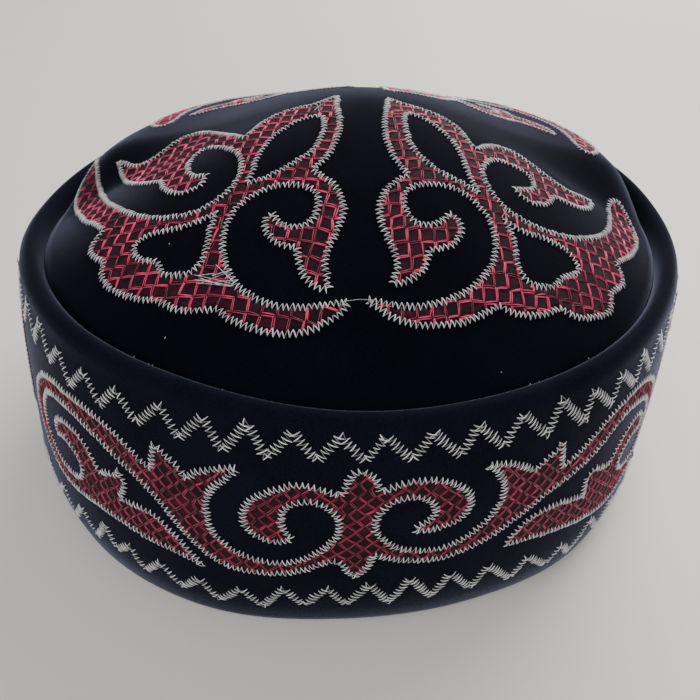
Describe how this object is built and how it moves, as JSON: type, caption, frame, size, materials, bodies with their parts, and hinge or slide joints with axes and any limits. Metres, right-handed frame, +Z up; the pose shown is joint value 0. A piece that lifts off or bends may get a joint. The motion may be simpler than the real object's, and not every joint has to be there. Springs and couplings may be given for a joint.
{
  "type": "tubeteika skullcap",
  "caption": "Soft velvet skullcap with a tall rounded band and a domed crown, embroidered with horn scrolls and zigzag borders, standing on its hem.",
  "frame": {"origin": "under the middle of the cap's outline, on the surface that its hem stands on", "axes": "+Z up through the crown, -Y towards the front of the cap, +X to the right seen from the front"},
  "size_m": [0.1874, 0.1838, 0.0999],
  "materials": {
    "band_velvet": "dark navy velvet with soft sheen",
    "crown_velvet": "near-black velvet with soft sheen",
    "silver_thread": "shiny pale machine embroidery thread",
    "crimson_thread": "shiny crimson embroidery thread",
    "maroon_ground": "dark maroon filling stitches"
  },
  "bodies": {
    "root": {"band": "band_velvet", "crown": "crown_velvet"}
  },
  "joints": []
}
